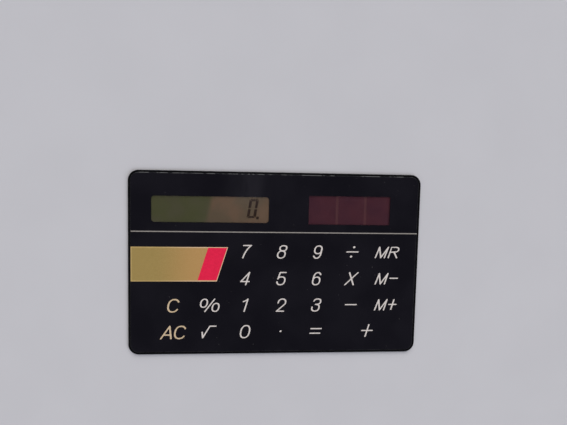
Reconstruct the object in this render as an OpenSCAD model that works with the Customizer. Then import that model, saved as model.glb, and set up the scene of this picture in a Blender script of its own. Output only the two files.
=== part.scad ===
// Solar film-card calculator: a laminated card with a membrane keypad.
// The card lies on its back: +X along the length, +Y towards the display, +Z out of the face.
// The origin is the middle of the back face.

/* [Card] */
// Length of the card
card_length = 85.6; // [84.5:0.1:92]
// Width of the card, from its lower edge to its display edge
card_width = 54.0; // [53.2:0.1:60]
// Thickness over the frame
card_thickness = 0.80; // [0.78:0.01:1.2]
// Radius of the card's corners, seen from the front
corner_radius = 3.0; // [1.5:0.1:3.6]
// Width of the frame's bare rim around the face film
rim_width = 0.55; // [0.4:0.05:0.7]
// Rounding of the rim's outer edges, seen in section
edge_round = 0.12; // [0.04:0.01:0.2]
// Gap between the rim and the edge of each sheet
sheet_clearance = 0.04; // [0.02:0.01:0.08]

/* [Sheets] */
// Thickness of the metal back plate
back_plate_thickness = 0.10; // [0.08:0.01:0.12]
// Thickness of the adhesive between the back plate and the frame
rear_adhesive_thickness = 0.03; // [0.02:0.005:0.04]
// Thickness of the printed conductors, and of the adhesive beside them
conductor_thickness = 0.02; // [0.015:0.005:0.025]
// Thickness of the circuit film
circuit_film_thickness = 0.05; // [0.04:0.005:0.06]
// Thickness of the spacer film, which holds the keys open
spacer_thickness = 0.10; // [0.09:0.005:0.12]
// Thickness of the contact film above the keys
contact_film_thickness = 0.05; // [0.04:0.005:0.06]
// Thickness of the opaque printed mask
mask_thickness = 0.03; // [0.025:0.005:0.04]
// Thickness of the clear face film
face_film_thickness = 0.12; // [0.1:0.01:0.14]
// Thickness of the coloured prints let into the mask
print_thickness = 0.02; // [0.01:0.005:0.02]

/* [Keys] */
// Distance between key columns
column_pitch = 10.55; // [9.6:0.05:10.7]
// Distance between key rows
row_pitch = 8.0; // [7.5:0.05:8.15]
// Place of the middle key column along the card
key_middle_x = 1.7; // [1:0.1:2]
// Place of the top key row across the card
key_top_y = 3.6; // [3.2:0.1:3.7]
// Diameter of a key's contact pad
pad_diameter = 5.0; // [4:0.1:5.4]
// Thickness of a key's contact pad
pad_thickness = 0.02; // [0.015:0.005:0.025]
// Gap round a contact pad in its hole in the spacer film
pad_clearance = 0.7; // [0.6:0.05:0.75]
// Gap that is left under a contact pad when its key is down
contact_gap = 0.005; // [0.002:0.001:0.01]
// Gap between the corners of a key's combs and the edge of its hole
comb_clearance = 0.2; // [0.1:0.05:0.5]
// Width of a comb's back and of its fingers
finger_width = 0.3; // [0.2:0.05:0.35]
// Fingers on each comb
finger_count = 4; // [3:1:5]
// Gap between a comb's fingers and the back of the other comb
finger_gap = 0.3; // [0.2:0.05:0.4]

/* [Display] */
// Length of the display window
display_window_length = 33.8; // [30:0.1:34.4]
// Height of the display window
display_window_height = 7.6; // [6.8:0.1:8]
// Radius of the display window's corners
display_window_radius = 0.9; // [0.3:0.1:1.5]
// Place of the display along the card
display_x = -19.35; // [-20:0.05:-19]
// Place of the display across the card
display_y = 15.95; // [15.8:0.05:17]
// Width of the cell's edge that the mask hides on each side of the window
display_margin = 1.4; // [1.2:0.1:1.7]
// Depth of the ledge that carries the display's terminals
display_ledge = 1.4; // [1.1:0.1:1.5]
// Thickness of each substrate of the display cell
substrate_thickness = 0.12; // [0.1:0.01:0.13]
// Thickness of each polariser of the display cell
polariser_thickness = 0.09; // [0.06:0.01:0.1]
// How far a polariser stays back from the edge of its substrate
polariser_inset = 0.3; // [0.2:0.1:0.6]
// Thickness of the liquid crystal layer, with its seal
crystal_thickness = 0.02; // [0.01:0.005:0.025]
// Width of the seal around the liquid crystal
seal_width = 0.7; // [0.5:0.1:1]
// Length of the connector along the display's lower edge
connector_length = 18.0; // [16:0.5:19]
// Place of the connector's middle along the card
connector_x = -26.0; // [-27:0.1:-25]
// Thickness of the connector ribbon
connector_thickness = 0.03; // [0.02:0.005:0.04]
// How far the connector reaches in under the circuit film
connector_reach = 2.4; // [2:0.1:3]
// Length of the connector's slope past the display's pocket
connector_slope = 0.85; // [0.7:0.05:1.2]

/* [Solar panel] */
// Length of the solar window
solar_window_length = 24.4; // [22:0.1:25]
// Height of the solar window
solar_window_height = 8.5; // [7.5:0.1:9]
// Place of the solar panel along the card
solar_x = 21.5; // [21.2:0.1:23]
// Place of the solar panel across the card
solar_y = 16.1; // [15.6:0.1:17]
// Width of the panel's edge that the mask hides on each side of the window
solar_margin = 1.0; // [0.8:0.1:1.2]
// Cells side by side in the panel
cell_count = 3; // [2:1:5]
// Gap between two cells
cell_gap = 0.45; // [0.2:0.05:0.8]
// Thickness of the cells
cell_thickness = 0.02; // [0.01:0.005:0.03]
// How far the cells run in behind the mask at each end of the window
cell_overlap = 0.4; // [0.2:0.1:0.5]
// Gap between the panel's edge and the bus bars on it
bus_bar_inset = 0.1; // [0.05:0.05:0.15]
// Width of the bus bar under the cells
bus_bar_width = 0.4; // [0.2:0.05:0.4]
// Width of a lead foil
lead_width = 0.8; // [0.6:0.1:1]
// How far a lead foil reaches out past the panel
lead_reach = 1.8; // [1.4:0.1:2]
// Distance of the upper lead's middle from the panel's upper edge
upper_lead_inset = 1.8; // [1:0.1:2.4]

/* [Circuit] */
// Side of the processor chip
chip_size = 4.6; // [4.4:0.1:5]
// Gap between the chip's edge and its row of contact bumps
bump_inset = 0.15; // [0.1:0.05:0.25]
// Side of a contact bump
bump_size = 0.1; // [0.06:0.01:0.12]
// Thickness of the processor chip
chip_thickness = 0.20; // [0.15:0.01:0.21]
// Place of the chip along the card
chip_x = -30.0; // [-30.4:0.1:-29.6]
// Place of the chip across the card
chip_y = 0; // [-0.4:0.1:0.4]
// Width of the resin round the chip
resin_wall = 0.8; // [0.5:0.1:1]
// Thickness of the resin under the chip
resin_cover = 0.05; // [0.03:0.01:0.07]
// Width of a conductor track
track_width = 0.1; // [0.08:0.01:0.12]
// Distance between neighbouring tracks
track_pitch = 0.2; // [0.18:0.01:0.21]
// Tracks from the display's connector to the chip
display_track_count = 20; // [10:1:20]
// Gap between the display's pocket and the middle of the nearest conductor under it
bus_gap = 0.4; // [0.3:0.05:0.45]
// Distance from the connector to the conductors that drop towards the chip beside it
drop_gap = 4.0; // [3.6:0.1:4.4]
// Distance from the chip's middle to the two upper rows beside it
row_turn_distance = 4.0; // [3.9:0.1:4.2]
// Distance between the lower rows beside the chip
row_turn_pitch = 1.4; // [1.2:0.1:1.4]
// Distance between the ends of the rows beside the chip
row_end_pitch = 0.6; // [0.55:0.05:0.65]
// How far below the chip's resin the first column's conductor turns
first_column_gap = 1.0; // [0.6:0.1:1.2]
// Distance from the chip's middle to the bump of the first column
first_column_offset = 1.5; // [1.2:0.1:1.8]
// Gap on each side of a track or a comb in the sheet that it lies in
track_clearance = 0.3; // [0.2:0.05:0.35]
// Diameter of the conductor plugs through the circuit film
plug_diameter = 0.3; // [0.2:0.05:0.35]
// Gap between a pocket's wall and what lies in the pocket
pocket_clearance = 0.15; // [0.1:0.05:0.2]
// Length of a capacitor or diode over its terminals
component_length = 4.0; // [3.8:0.1:4.2]
// Width of a capacitor or diode
component_width = 1.4; // [1:0.1:1.5]
// Height of a capacitor or diode
component_height = 0.22; // [0.15:0.01:0.24]
// Length of one terminal of a capacitor or diode
terminal_length = 0.6; // [0.4:0.1:0.8]
// Distance between neighbouring components
component_pitch = 1.8; // [1.7:0.1:2]

/* [Face print] */
// Place of the dividing line across the card
line_y = 9.4; // [9:0.05:9.6]
// Width of the dividing line
line_width = 0.3; // [0.2:0.05:0.5]
// Gap between the ends of the dividing line and the edge of the face film
line_inset = 0.15; // [0:0.05:1]
// Height of the badge
badge_height = 10.25; // [8:0.05:11]
// Place of the badge's middle across the card
badge_y = -0.2; // [-0.5:0.05:0.5]
// Place of the upper end of the badge's slanted edge along the card
badge_end_x = -14.0; // [-16:0.1:-13.5]
// Slant of the badge's edge from upright, in degrees
badge_slant = 17.3; // [10:0.1:20]
// Length of the coloured flash in the badge
flash_length = 5.7; // [3:0.1:7]
// Border round the flash at its top and at its slanted end
flash_border = 0.2; // [0.1:0.05:0.4]
// Border under the flash
flash_lower_border = 0.45; // [0.2:0.05:0.8]

/* [Hidden] */
$fn = 48;

// Keys: name, column (a half lies between two columns) and row from the top
KEYS = [
    ["key_7", 2, 0],
    ["key_8", 3, 0],
    ["key_9", 4, 0],
    ["key_divide", 5, 0],
    ["key_memory_recall", 6, 0],
    ["key_4", 2, 1],
    ["key_5", 3, 1],
    ["key_6", 4, 1],
    ["key_multiply", 5, 1],
    ["key_memory_minus", 6, 1],
    ["key_clear", 0, 2],
    ["key_percent", 1, 2],
    ["key_1", 2, 2],
    ["key_2", 3, 2],
    ["key_3", 4, 2],
    ["key_minus", 5, 2],
    ["key_memory_plus", 6, 2],
    ["key_all_clear", 0, 3],
    ["key_square_root", 1, 3],
    ["key_0", 2, 3],
    ["key_point", 3, 3],
    ["key_equals", 4, 3],
    ["key_plus", 5.5, 3],
];
// Column conductors: the column of keys that each serves, and the lowest row in it
COLUMNS = [[0, 3], [1, 3], [2, 3], [3, 3], [4, 3], [5, 2], [5.5, 3], [6, 2]];
// Rightmost column of keys in each row
ROW_ENDS = [6, 6, 6, 5.5];
middle_column = 3;

// Heights of the sheets, from the back face up
rear_adhesive_z = back_plate_thickness;
web_z = rear_adhesive_z + rear_adhesive_thickness;
face_film_z = card_thickness - face_film_thickness;
print_z = face_film_z - print_thickness;
mask_z = face_film_z - mask_thickness;
contact_film_z = mask_z - contact_film_thickness;
pad_z = contact_film_z - pad_thickness;
spacer_z = contact_film_z - spacer_thickness;
circuit_film_z = spacer_z - circuit_film_thickness;
web_top = circuit_film_z - conductor_thickness;

// How far a key travels: from its contact pad down to the combs
key_travel = pad_z - spacer_z - conductor_thickness - contact_gap;

// Heights inside the display cell
rear_substrate_z = web_z + polariser_thickness;
crystal_z = rear_substrate_z + substrate_thickness;
front_substrate_z = crystal_z + crystal_thickness;
front_polariser_z = front_substrate_z + substrate_thickness;

// The recess inside the rim, and the sheets that lie in it
recess_length = card_length - 2 * rim_width;
recess_width = card_width - 2 * rim_width;
sheet_length = recess_length - 2 * sheet_clearance;
sheet_width = recess_width - 2 * sheet_clearance;
sheet_radius = corner_radius - rim_width - sheet_clearance;

// A key's hole in the spacer film, and the square of combs inside it
hole_diameter = pad_diameter + 2 * pad_clearance;
comb_size = sqrt(2) * (hole_diameter / 2 - comb_clearance);
finger_pitch = comb_size / (2 * finger_count);
comb_back = comb_size / 2 - finger_width / 2;

// Display cell: the front substrate, and the rear one with its ledge below
cell_length = display_window_length + 2 * display_margin;
cell_height = display_window_height + 2 * display_margin;
cell_bottom = display_y - cell_height / 2;
rear_height = cell_height + display_ledge;
rear_y = display_y - display_ledge / 2;
ledge_bottom = cell_bottom - display_ledge;
display_bay_bottom = ledge_bottom - pocket_clearance;
connector_end = display_bay_bottom - connector_reach;

// Solar panel: the cells and bus bars lie on its substrate
panel_length = solar_window_length + 2 * solar_margin;
panel_height = solar_window_height + 2 * solar_margin;
panel_left = solar_x - panel_length / 2;
panel_bottom = solar_y - panel_height / 2;
cells_z = web_top - cell_thickness;
cells_length = solar_window_length + 2 * cell_overlap;
cells_height = solar_window_height + 2 * cell_overlap;
lead_end_x = panel_left - lead_reach;
upper_lead_y = solar_y + panel_height / 2 - upper_lead_inset;
lower_lead_y = panel_bottom + bus_bar_inset + bus_bar_width / 2;

// Chip, and the edges at which the conductors meet its bumps
bump_edge = chip_size / 2 - bump_inset;
resin_size = chip_size + 2 * resin_wall;
resin_radius = resin_wall;

// Capacitors and diode, between the display and the solar panel
component_count = 3;
component_x = (display_x + cell_length / 2 + panel_left) / 2;
rail_offset = (component_length - terminal_length) / 2;
component_span = component_width + (component_count - 1) * component_pitch;

// Columns and power run in a bus under the display, and drop towards the chip beside its connector
first_bus_line = 2;
power_line = len(COLUMNS);
bus_top = display_bay_bottom - bus_gap;
drop_right = connector_x + connector_length / 2 + drop_gap;

function column_x(column) = key_middle_x + (column - middle_column) * column_pitch;
function row_y(row) = key_top_y - row * row_pitch;
function bus_y(line) = bus_top - (power_line + 1 - line) * track_pitch;
function drop_x(line) = drop_right - (line - first_bus_line) * track_pitch;
function chip_line_y(line) = chip_y - (power_line + 1 - line) * track_pitch;

// Rows go round the chip's left side: the top one from above, and each lower one further out
function row_turn_x(row) = chip_x - row_turn_distance - max(row - 1, 0) * row_turn_pitch;
function row_end_y(row) = chip_y + (row == 0 ? 1.5 : 0.5 - row) * row_end_pitch;

// The way of one row conductor, from its last key to its plug beside the chip
function row_route(row) = [
    [column_x(ROW_ENDS[row]) + comb_size / 2 - finger_width / 2, row_y(row) + comb_back],
    [row_turn_x(row), row_y(row) + comb_back],
    [row_turn_x(row), row_end_y(row)],
];

// The last part of a conductor's way in the bus, from a place above or below it to the chip
function bus_route(line) = [
    [drop_x(line), bus_y(line)],
    [drop_x(line), chip_line_y(line)],
    [chip_x + bump_edge, chip_line_y(line)],
];

// The way of one column conductor, from its lowest key to the chip
function column_route(line) =
    let (
        x = column_x(COLUMNS[line][0]) + comb_back,
        start = [x, row_y(COLUMNS[line][1]) - comb_back],
        step_y = chip_y - resin_size / 2 - first_column_gap
    )
    line == 0 ? [
        start,
        [x, step_y],
        [chip_x + first_column_offset, step_y],
        [chip_x + first_column_offset, chip_y - bump_edge],
    ] :
    line < first_bus_line ? [
        start,
        [x, chip_line_y(line)],
        [chip_x + bump_edge, chip_line_y(line)],
    ] :
    concat([start, [x, bus_y(line)]], bus_route(line));

// The way of one power conductor, from its lead foil past the components to the chip
function power_route(line, lead_y, rail_x) =
    concat([[lead_end_x, lead_y], [rail_x, lead_y], [rail_x, bus_y(line)]], bus_route(line));

lower_power_route = power_route(power_line, lower_lead_y, component_x + rail_offset);
upper_power_route = power_route(power_line + 1, upper_lead_y, component_x - rail_offset);

// A rectangle with round corners
module rounded_outline(length, width, radius) {
    square([length - 2 * radius, width], center = true);
    square([length, width - 2 * radius], center = true);
    for (x = [-1, 1])
        for (y = [-1, 1])
            translate([x * (length / 2 - radius), y * (width / 2 - radius)])
                circle(radius);
}

// A band along points that run parallel to the card's edges
module route(points, width) {
    for (i = [0:len(points) - 2]) {
        low = [for (axis = [0, 1]) min(points[i][axis], points[i + 1][axis]) - width / 2];
        high = [for (axis = [0, 1]) max(points[i][axis], points[i + 1][axis]) + width / 2];
        translate(low)
            square(high - low);
    }
}

// A flat layer of an outline, from one height up
module layer(bottom, thickness) {
    translate([0, 0, bottom])
        linear_extrude(thickness)
            children();
}

module sheet_outline() {
    rounded_outline(sheet_length, sheet_width, sheet_radius);
}

module at_display(y = display_y) {
    translate([display_x, y])
        children();
}

module at_solar() {
    translate([solar_x, solar_y])
        children();
}

module at_chip() {
    translate([chip_x, chip_y])
        children();
}

module at_keys() {
    for (key = KEYS)
        translate([column_x(key[1]), row_y(key[2])])
            children();
}

// Pockets in the frame and the films

module display_bay() {
    at_display(rear_y)
        square([cell_length + 2 * pocket_clearance, rear_height + 2 * pocket_clearance], center = true);
}

module connector_notch() {
    translate([connector_x - connector_length / 2 - pocket_clearance, connector_end - pocket_clearance])
        square([connector_length + 2 * pocket_clearance, ledge_bottom - connector_end]);
}

module solar_bay() {
    at_solar()
        square([panel_length + 2 * pocket_clearance, panel_height + 2 * pocket_clearance], center = true);
}

module chip_bay() {
    at_chip()
        rounded_outline(
            resin_size + 2 * pocket_clearance,
            resin_size + 2 * pocket_clearance,
            resin_radius + pocket_clearance
        );
}

module component_bay() {
    translate([component_x, solar_y])
        square(
            [component_length + 2 * pocket_clearance, component_span + 2 * pocket_clearance],
            center = true
        );
}

// Windows in the films over the display and the solar panel, wider by a margin on each side
module display_window(margin = 0) {
    at_display()
        rounded_outline(
            display_window_length + 2 * margin,
            display_window_height + 2 * margin,
            display_window_radius
        );
}

module solar_window(margin = 0) {
    at_solar()
        square([solar_window_length + 2 * margin, solar_window_height + 2 * margin], center = true);
}

// Section through the rim: x runs outwards, y up
module rim_section() {
    square([rim_width - edge_round, card_thickness]);
    translate([0, edge_round])
        square([rim_width, card_thickness - 2 * edge_round]);
    for (z = [edge_round, card_thickness - edge_round])
        translate([rim_width - edge_round, z])
            circle(edge_round);
}

// The rim: one side and the corner after it, four times round
module rim() {
    for (side = [0:3]) {
        along = side % 2 == 0 ? card_length : card_width;
        across = side % 2 == 0 ? card_width : card_length;
        rotate([0, 0, 90 * side]) {
            translate([corner_radius - along / 2, across / 2 - rim_width, 0])
                rotate([90, 0, 90])
                    linear_extrude(along - 2 * corner_radius)
                        rim_section();
            translate([along / 2 - corner_radius, across / 2 - corner_radius, 0])
                rotate_extrude(angle = 90)
                    translate([corner_radius - rim_width, 0])
                        rim_section();
        }
    }
}

// Moulded frame: the rim, and a web with pockets for everything thicker than the films
module frame() {
    color("#17171b") {
        rim();
        layer(web_z, web_top - web_z)
            difference() {
                rounded_outline(
                    card_length - rim_width,
                    card_width - rim_width,
                    corner_radius - rim_width / 2
                );
                display_bay();
                connector_notch();
                solar_bay();
                chip_bay();
                component_bay();
            }
    }
}

module back_plate() {
    color("#a9abad")
        layer(0, back_plate_thickness)
            sheet_outline();
}

module rear_adhesive() {
    color("#c9bf9a")
        layer(rear_adhesive_z, rear_adhesive_thickness)
            sheet_outline();
}

// Adhesive between the web and the circuit film, cut away round the conductors beside it
module film_adhesive() {
    color("#d8cfa8")
        layer(web_top, conductor_thickness)
            difference() {
                sheet_outline();
                display_bay();
                connector_notch();
                solar_bay();
                component_bay();
                lead_outline(pocket_clearance);
                at_chip()
                    square(chip_size, center = true);
                for (line = [0:len(COLUMNS) - 1])
                    route(column_route(line), track_width + 2 * track_clearance);
                for (points = [lower_power_route, upper_power_route])
                    route(points, track_width + 2 * track_clearance);
                for (row = [0:len(ROW_ENDS) - 1])
                    route(row_lead(row), plug_diameter + 2 * track_clearance);
                display_fan(connector_length, bump_edge + track_clearance);
            }
}

module circuit_film() {
    color("#b5722e")
        layer(circuit_film_z, circuit_film_thickness)
            difference() {
                sheet_outline();
                display_bay();
                solar_window(solar_margin / 2);
                plug_places()
                    circle(d = plug_diameter);
            }
}

// The short way of a row conductor under the circuit film, from its plug to the chip
function row_lead(row) = [
    [row_turn_x(row), row_end_y(row)],
    [chip_x - bump_edge, row_end_y(row)],
];

// Half of a key's combs, with its back at the top and its fingers pointing down
module comb() {
    translate([-comb_size / 2, comb_back - finger_width / 2])
        square([comb_size, finger_width]);
    for (finger = [0:finger_count - 1])
        translate([
            (2 * finger + 0.5) * finger_pitch - comb_size / 2 - finger_width / 2,
            finger_width + finger_gap - comb_size / 2,
        ])
            square([finger_width, comb_size - finger_width - finger_gap]);
}

// Rows on the face of the circuit film, each with the upper combs of its keys
module row_conductors() {
    color("#3b3b3e")
        layer(spacer_z, conductor_thickness) {
            at_keys()
                comb();
            for (row = [0:len(ROW_ENDS) - 1])
                route(row_route(row), finger_width);
        }
}

// The lower combs of the keys, joined to the columns by plugs
module column_combs() {
    color("#4a4a4d")
        layer(spacer_z, conductor_thickness)
            at_keys()
                rotate(180)
                    comb();
}

// Columns on the back of the circuit film
module column_conductors() {
    color("#c27c3c")
        layer(web_top, conductor_thickness)
            for (line = [0:len(COLUMNS) - 1])
                route(column_route(line), track_width);
}

// The two power conductors past the components, and the leads of the rows
module power_conductors() {
    color("#c27c3c")
        layer(web_top, conductor_thickness) {
            route(lower_power_route, track_width);
            route(
                [
                    [component_x + rail_offset, solar_y + component_span / 2],
                    [component_x + rail_offset, lower_lead_y],
                ],
                track_width
            );
            route(upper_power_route, track_width);
            for (row = [0:len(ROW_ENDS) - 1])
                route(row_lead(row), track_width);
        }
}

// A band that narrows from the connector to the chip: its length at the one and half of it at the other
module display_fan(length, half_width, x = 0, chip_offset = 0) {
    polygon([
        [connector_x + x - length / 2, connector_end],
        [connector_x + x + length / 2, connector_end],
        [chip_x + chip_offset + half_width, chip_y + bump_edge],
        [chip_x + chip_offset - half_width, chip_y + bump_edge],
    ]);
}

module display_conductors() {
    color("#c27c3c")
        layer(web_top, conductor_thickness)
            for (i = [0:display_track_count - 1]) {
                place = i - (display_track_count - 1) / 2;
                display_fan(
                    track_width,
                    track_width / 2,
                    place * connector_length / display_track_count,
                    place * track_pitch
                );
            }
}

// Where conductors pass through the circuit film: at each key, and at each row's end
module plug_places() {
    at_keys()
        translate([comb_back, -comb_back])
            children();
    for (row = [0:len(ROW_ENDS) - 1])
        translate(row_lead(row)[0])
            children();
}

module conductor_plugs() {
    color("#8a8a8e")
        layer(circuit_film_z, circuit_film_thickness)
            plug_places()
                circle(d = plug_diameter);
}

// Spacer film: a round hole at each key, and the vents that join the holes along each row
module spacer_film() {
    color("#e6e6e2")
        layer(spacer_z, spacer_thickness)
            difference() {
                sheet_outline();
                display_bay();
                solar_bay();
                at_keys()
                    circle(d = hole_diameter);
                for (row = [0:len(ROW_ENDS) - 1])
                    route(row_route(row), finger_width + 2 * track_clearance);
            }
}

module contact_film() {
    color("#d9d9d4")
        layer(contact_film_z, contact_film_thickness)
            difference() {
                sheet_outline();
                display_window(display_margin / 2);
                solar_window(solar_margin / 2);
            }
}

// A key's contact pad, printed on the back of the contact film: this is what moves
module contact_pad(key) {
    color("#2b2b2e")
        translate([column_x(key[1]), row_y(key[2]), pad_z])
            cylinder(h = pad_thickness, d = pad_diameter);
}

module mask_outline() {
    difference() {
        sheet_outline();
        display_window();
        solar_window();
    }
}

// Opaque print behind the face film, open at the windows and let in for the coloured prints
module face_mask() {
    color("#101014") {
        layer(mask_z, print_z - mask_z)
            mask_outline();
        layer(print_z, print_thickness)
            difference() {
                mask_outline();
                divider_outline();
                badge_outline();
            }
    }
}

module divider_outline() {
    translate([line_inset - sheet_length / 2, line_y - line_width / 2])
        square([sheet_length - 2 * line_inset, line_width]);
}

// Place of the badge's slanted edge along the card, at a place across it
function badge_edge_x(y) = badge_end_x - (badge_y + badge_height / 2 - y) * tan(badge_slant);

module badge_outline() {
    left = line_inset - sheet_length / 2;
    bottom = badge_y - badge_height / 2;
    top = badge_y + badge_height / 2;
    polygon([
        [left, bottom],
        [badge_edge_x(bottom), bottom],
        [badge_edge_x(top), top],
        [left, top],
    ]);
}

module flash_outline() {
    bottom = badge_y - badge_height / 2 + flash_lower_border;
    top = badge_y + badge_height / 2 - flash_border;
    lower_end = badge_edge_x(bottom) - flash_border;
    upper_end = badge_edge_x(top) - flash_border;
    polygon([
        [lower_end - flash_length, bottom],
        [lower_end, bottom],
        [upper_end, top],
        [upper_end - flash_length, top],
    ]);
}

module badge_print() {
    color("#b39a5c")
        layer(print_z, print_thickness)
            difference() {
                badge_outline();
                flash_outline();
            }
}

module badge_flash() {
    color("#e0234c")
        layer(print_z, print_thickness)
            flash_outline();
}

module divider_line() {
    color("#cfc9c2")
        layer(print_z, print_thickness)
            divider_outline();
}

module face_film() {
    color("#20202a", 0.4)
        layer(face_film_z, face_film_thickness)
            sheet_outline();
}

// Display cell, from the back up

module display_rear_polariser() {
    color("#8d937a")
        layer(web_z, polariser_thickness)
            at_display(rear_y)
                square([cell_length - 2 * polariser_inset, rear_height - 2 * polariser_inset], center = true);
}

module display_rear_substrate() {
    color("#a9b39a", 0.6)
        layer(rear_substrate_z, substrate_thickness)
            at_display(rear_y)
                square([cell_length, rear_height], center = true);
}

module display_seal() {
    color("#4c4c50")
        layer(crystal_z, crystal_thickness)
            at_display()
                difference() {
                    square([cell_length, cell_height], center = true);
                    crystal_outline();
                }
}

module crystal_outline() {
    square([cell_length - 2 * seal_width, cell_height - 2 * seal_width], center = true);
}

module display_crystal() {
    color("#8f9a76", 0.6)
        layer(crystal_z, crystal_thickness)
            at_display()
                crystal_outline();
}

module display_front_substrate() {
    color("#a9b39a", 0.4)
        layer(front_substrate_z, substrate_thickness)
            at_display()
                square([cell_length, cell_height], center = true);
}

module display_front_polariser() {
    color("#7d8463", 0.6)
        layer(front_polariser_z, polariser_thickness)
            at_display()
                square([cell_length - 2 * polariser_inset, cell_height - 2 * polariser_inset], center = true);
}

// Ribbon from the cell's ledge down its slope and in under the circuit film
module display_connector() {
    ledge_start = ledge_bottom + pocket_clearance;
    slope_end = display_bay_bottom - connector_slope;
    under_film = circuit_film_z - connector_thickness;
    color("#c98b3f")
        translate([connector_x - connector_length / 2, 0, 0])
            rotate([90, 0, 90])
                linear_extrude(connector_length)
                    polygon([
                        [cell_bottom - pocket_clearance, crystal_z],
                        [ledge_start, crystal_z],
                        [slope_end, under_film],
                        [connector_end, under_film],
                        [connector_end, circuit_film_z],
                        [slope_end, circuit_film_z],
                        [ledge_start, crystal_z + connector_thickness],
                        [cell_bottom - pocket_clearance, crystal_z + connector_thickness],
                    ]);
}

// Solar panel

module solar_substrate() {
    color("#6b4a50")
        layer(web_z, cells_z - web_z)
            at_solar()
                square([panel_length, panel_height], center = true);
}

module solar_cells() {
    one_cell = (cells_length - (cell_count - 1) * cell_gap) / cell_count;
    color("#3c1c24")
        layer(cells_z, cell_thickness)
            for (i = [0:cell_count - 1])
                translate([
                    solar_x - cells_length / 2 + i * (one_cell + cell_gap),
                    solar_y - cells_height / 2,
                ])
                    square([one_cell, cells_height]);
}

// One bar at the first cell's end, and one from the last cell's end back under all of them
module solar_bus_bars() {
    bar_width = (panel_length - cells_length) / 2 - bus_bar_inset;
    cells_bottom = solar_y - cells_height / 2;
    low = panel_bottom + bus_bar_inset;
    color("#b9b9bd")
        layer(cells_z, cell_thickness) {
            translate([panel_left + bus_bar_inset, cells_bottom])
                square([bar_width, cells_height]);
            translate([solar_x + cells_length / 2, low])
                square([bar_width, cells_bottom + cells_height - low]);
            translate([panel_left + bus_bar_inset, low])
                square([panel_length - 2 * bus_bar_inset, bus_bar_width]);
        }
}

// Places of the two lead foils, wider by a margin on each side
module lead_outline(margin = 0) {
    for (y = [lower_lead_y, upper_lead_y])
        translate([lead_end_x - margin, y - lead_width / 2 - margin])
            square([lead_reach + solar_margin - cell_overlap + 2 * margin, lead_width + 2 * margin]);
}

module solar_leads() {
    color("#c9c9cc")
        layer(web_top, conductor_thickness)
            lead_outline();
}

// Chip, face down on its bumps under the circuit film, and the resin over it
module processor_chip() {
    color("#33363a")
        layer(web_top - chip_thickness, chip_thickness)
            at_chip()
                square(chip_size, center = true);
}

module bump(x, y) {
    translate([x - bump_size / 2, y - bump_size / 2])
        square(bump_size);
}

module chip_bumps() {
    inner = bump_edge - bump_size / 2;
    color("#d2b25a")
        layer(web_top, conductor_thickness) {
            bump(chip_x + first_column_offset, chip_y - inner);
            for (line = [1:power_line + 1])
                bump(chip_x + inner, chip_line_y(line));
            for (row = [0:len(ROW_ENDS) - 1])
                bump(chip_x - inner, row_end_y(row));
            for (i = [0:display_track_count - 1])
                bump(chip_x + (i - (display_track_count - 1) / 2) * track_pitch, chip_y + inner);
        }
}

module resin_outline() {
    at_chip()
        rounded_outline(resin_size, resin_size, resin_radius);
}

module chip_resin() {
    color("#1d1d20") {
        layer(web_top - chip_thickness - resin_cover, resin_cover)
            resin_outline();
        layer(web_top - chip_thickness, chip_thickness)
            difference() {
                resin_outline();
                at_chip()
                    square(chip_size, center = true);
            }
    }
}

// Two capacitors and the clamp diode that bridge the power conductors
module at_components() {
    for (i = [0:component_count - 1])
        translate([component_x, solar_y + (i - (component_count - 1) / 2) * component_pitch])
            children();
}

module component_bodies() {
    color("#b9863e")
        layer(web_top - component_height, component_height)
            at_components()
                square([component_length - 2 * terminal_length, component_width], center = true);
}

module component_terminals() {
    color("#c4c4c8")
        layer(web_top - component_height, component_height)
            at_components()
                for (side = [-1, 1])
                    translate([side * rail_offset, 0])
                        square([terminal_length, component_width], center = true);
}

frame();
back_plate();
rear_adhesive();
film_adhesive();
circuit_film();
row_conductors();
column_combs();
column_conductors();
power_conductors();
display_conductors();
conductor_plugs();
spacer_film();
contact_film();
face_mask();
badge_print();
badge_flash();
divider_line();
face_film();
display_rear_polariser();
display_rear_substrate();
display_seal();
display_crystal();
display_front_substrate();
display_front_polariser();
display_connector();
solar_substrate();
solar_cells();
solar_bus_bars();
solar_leads();
processor_chip();
chip_bumps();
chip_resin();
component_bodies();
component_terminals();
for (key = KEYS)
    contact_pad(key);
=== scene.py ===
import math

import bpy
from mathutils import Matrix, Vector


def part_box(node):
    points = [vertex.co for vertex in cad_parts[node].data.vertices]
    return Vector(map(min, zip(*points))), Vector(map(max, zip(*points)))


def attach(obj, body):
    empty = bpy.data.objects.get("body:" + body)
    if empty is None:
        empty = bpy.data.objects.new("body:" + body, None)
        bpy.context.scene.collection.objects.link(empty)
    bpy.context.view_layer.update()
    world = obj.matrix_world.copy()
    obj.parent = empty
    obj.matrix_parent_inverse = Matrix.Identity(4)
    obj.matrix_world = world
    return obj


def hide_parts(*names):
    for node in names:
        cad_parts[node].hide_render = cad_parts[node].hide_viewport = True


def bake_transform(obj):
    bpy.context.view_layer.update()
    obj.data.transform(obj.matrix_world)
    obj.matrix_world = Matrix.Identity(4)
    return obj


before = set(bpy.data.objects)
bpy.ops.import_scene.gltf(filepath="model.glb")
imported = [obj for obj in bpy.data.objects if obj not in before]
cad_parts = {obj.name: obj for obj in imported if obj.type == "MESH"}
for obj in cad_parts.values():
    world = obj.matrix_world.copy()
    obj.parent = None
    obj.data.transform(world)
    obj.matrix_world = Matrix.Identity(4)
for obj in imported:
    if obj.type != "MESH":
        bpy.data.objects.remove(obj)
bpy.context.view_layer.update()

# Pieces are modelled in millimetres and brought to metres at the end
mm = 0.001
smoothAngle = math.radians(40)  # edges that turn more than this stay sharp


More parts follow.
